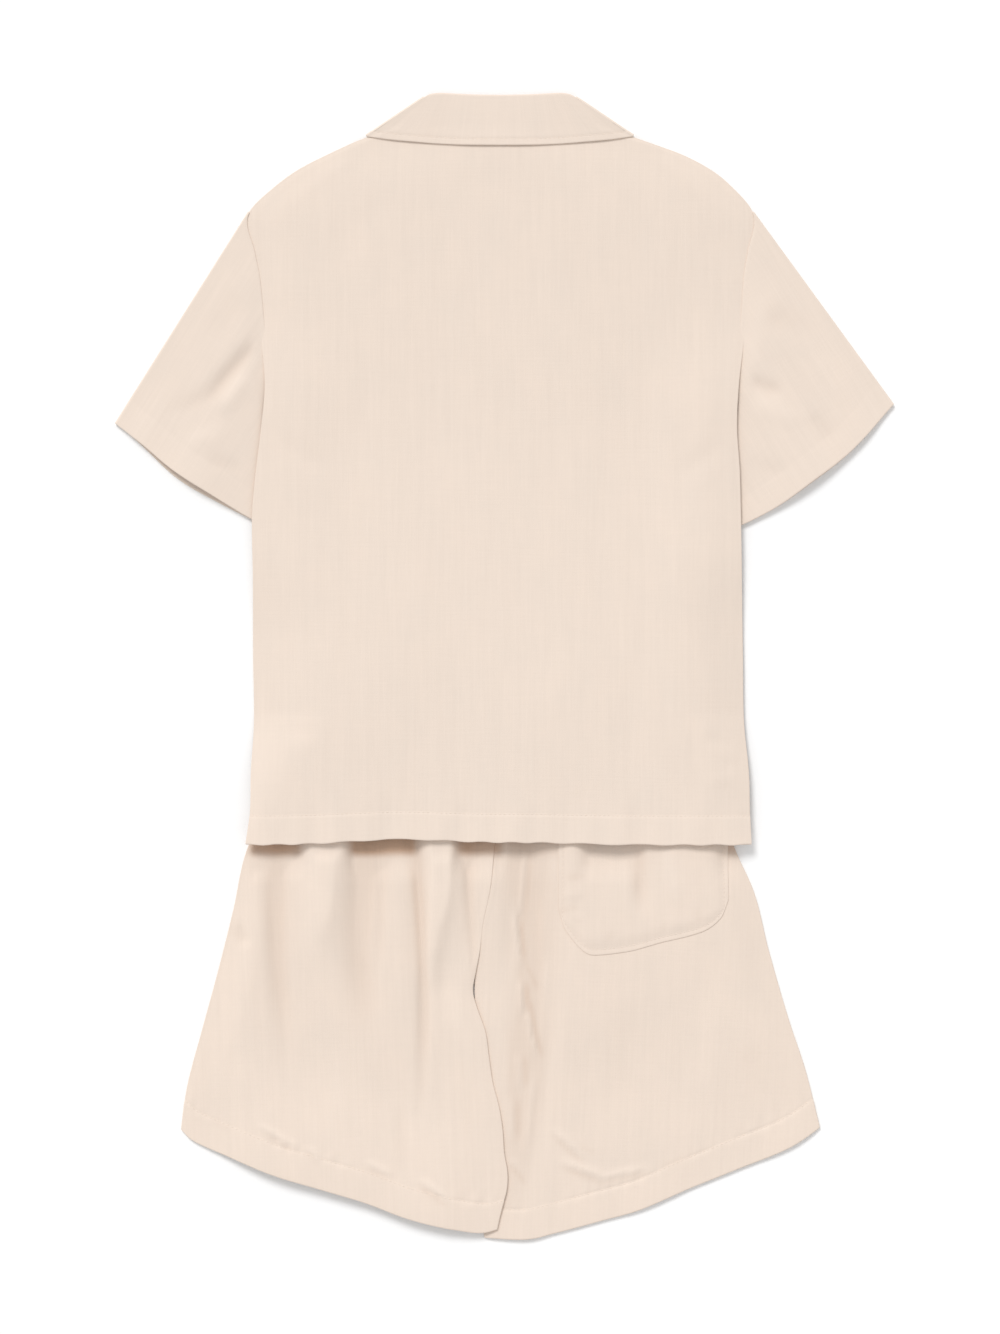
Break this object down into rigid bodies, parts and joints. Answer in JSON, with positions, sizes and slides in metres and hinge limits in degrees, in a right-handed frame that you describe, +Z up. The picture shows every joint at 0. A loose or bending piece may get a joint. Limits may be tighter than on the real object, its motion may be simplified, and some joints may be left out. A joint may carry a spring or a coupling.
{
  "type": "short-sleeved camp-collar shirt and elastic-waist shorts set, laid flat with its back up",
  "caption": "Plain linen set: a boxy short-sleeved shirt with a camp collar, laid face down over gathered shorts with a back patch pocket.",
  "frame": {"origin": "on the surface that the set lies on, under the middle of its outline", "axes": "+Z up off the surface, +Y from the shorts' hems towards the shirt's collar, +X towards the wearer's right"},
  "size_m": [0.5917, 0.8696, 0.0135],
  "materials": {
    "linen": "plain-woven slubbed linen, matte, pale beige",
    "button": "satin, pale horn colour"
  },
  "bodies": {
    "root": {"shirt_back": "linen", "shirt_front_left": "linen", "shirt_front_right": "linen", "shirt_sleeve_left": "linen", "shirt_sleeve_right": "linen", "shirt_collar": "linen", "shirt_lapel_left": "linen", "shirt_lapel_right": "linen", "shirt_button_1": "button", "shirt_button_2": "button", "shirt_button_3": "button", "shirt_button_4": "button", "shirt_button_5": "button", "shorts_back_left": "linen", "shorts_back_right": "linen", "shorts_front_left": "linen", "shorts_front_right": "linen", "shorts_waistband": "linen", "shorts_back_pocket": "linen"}
  },
  "joints": []
}
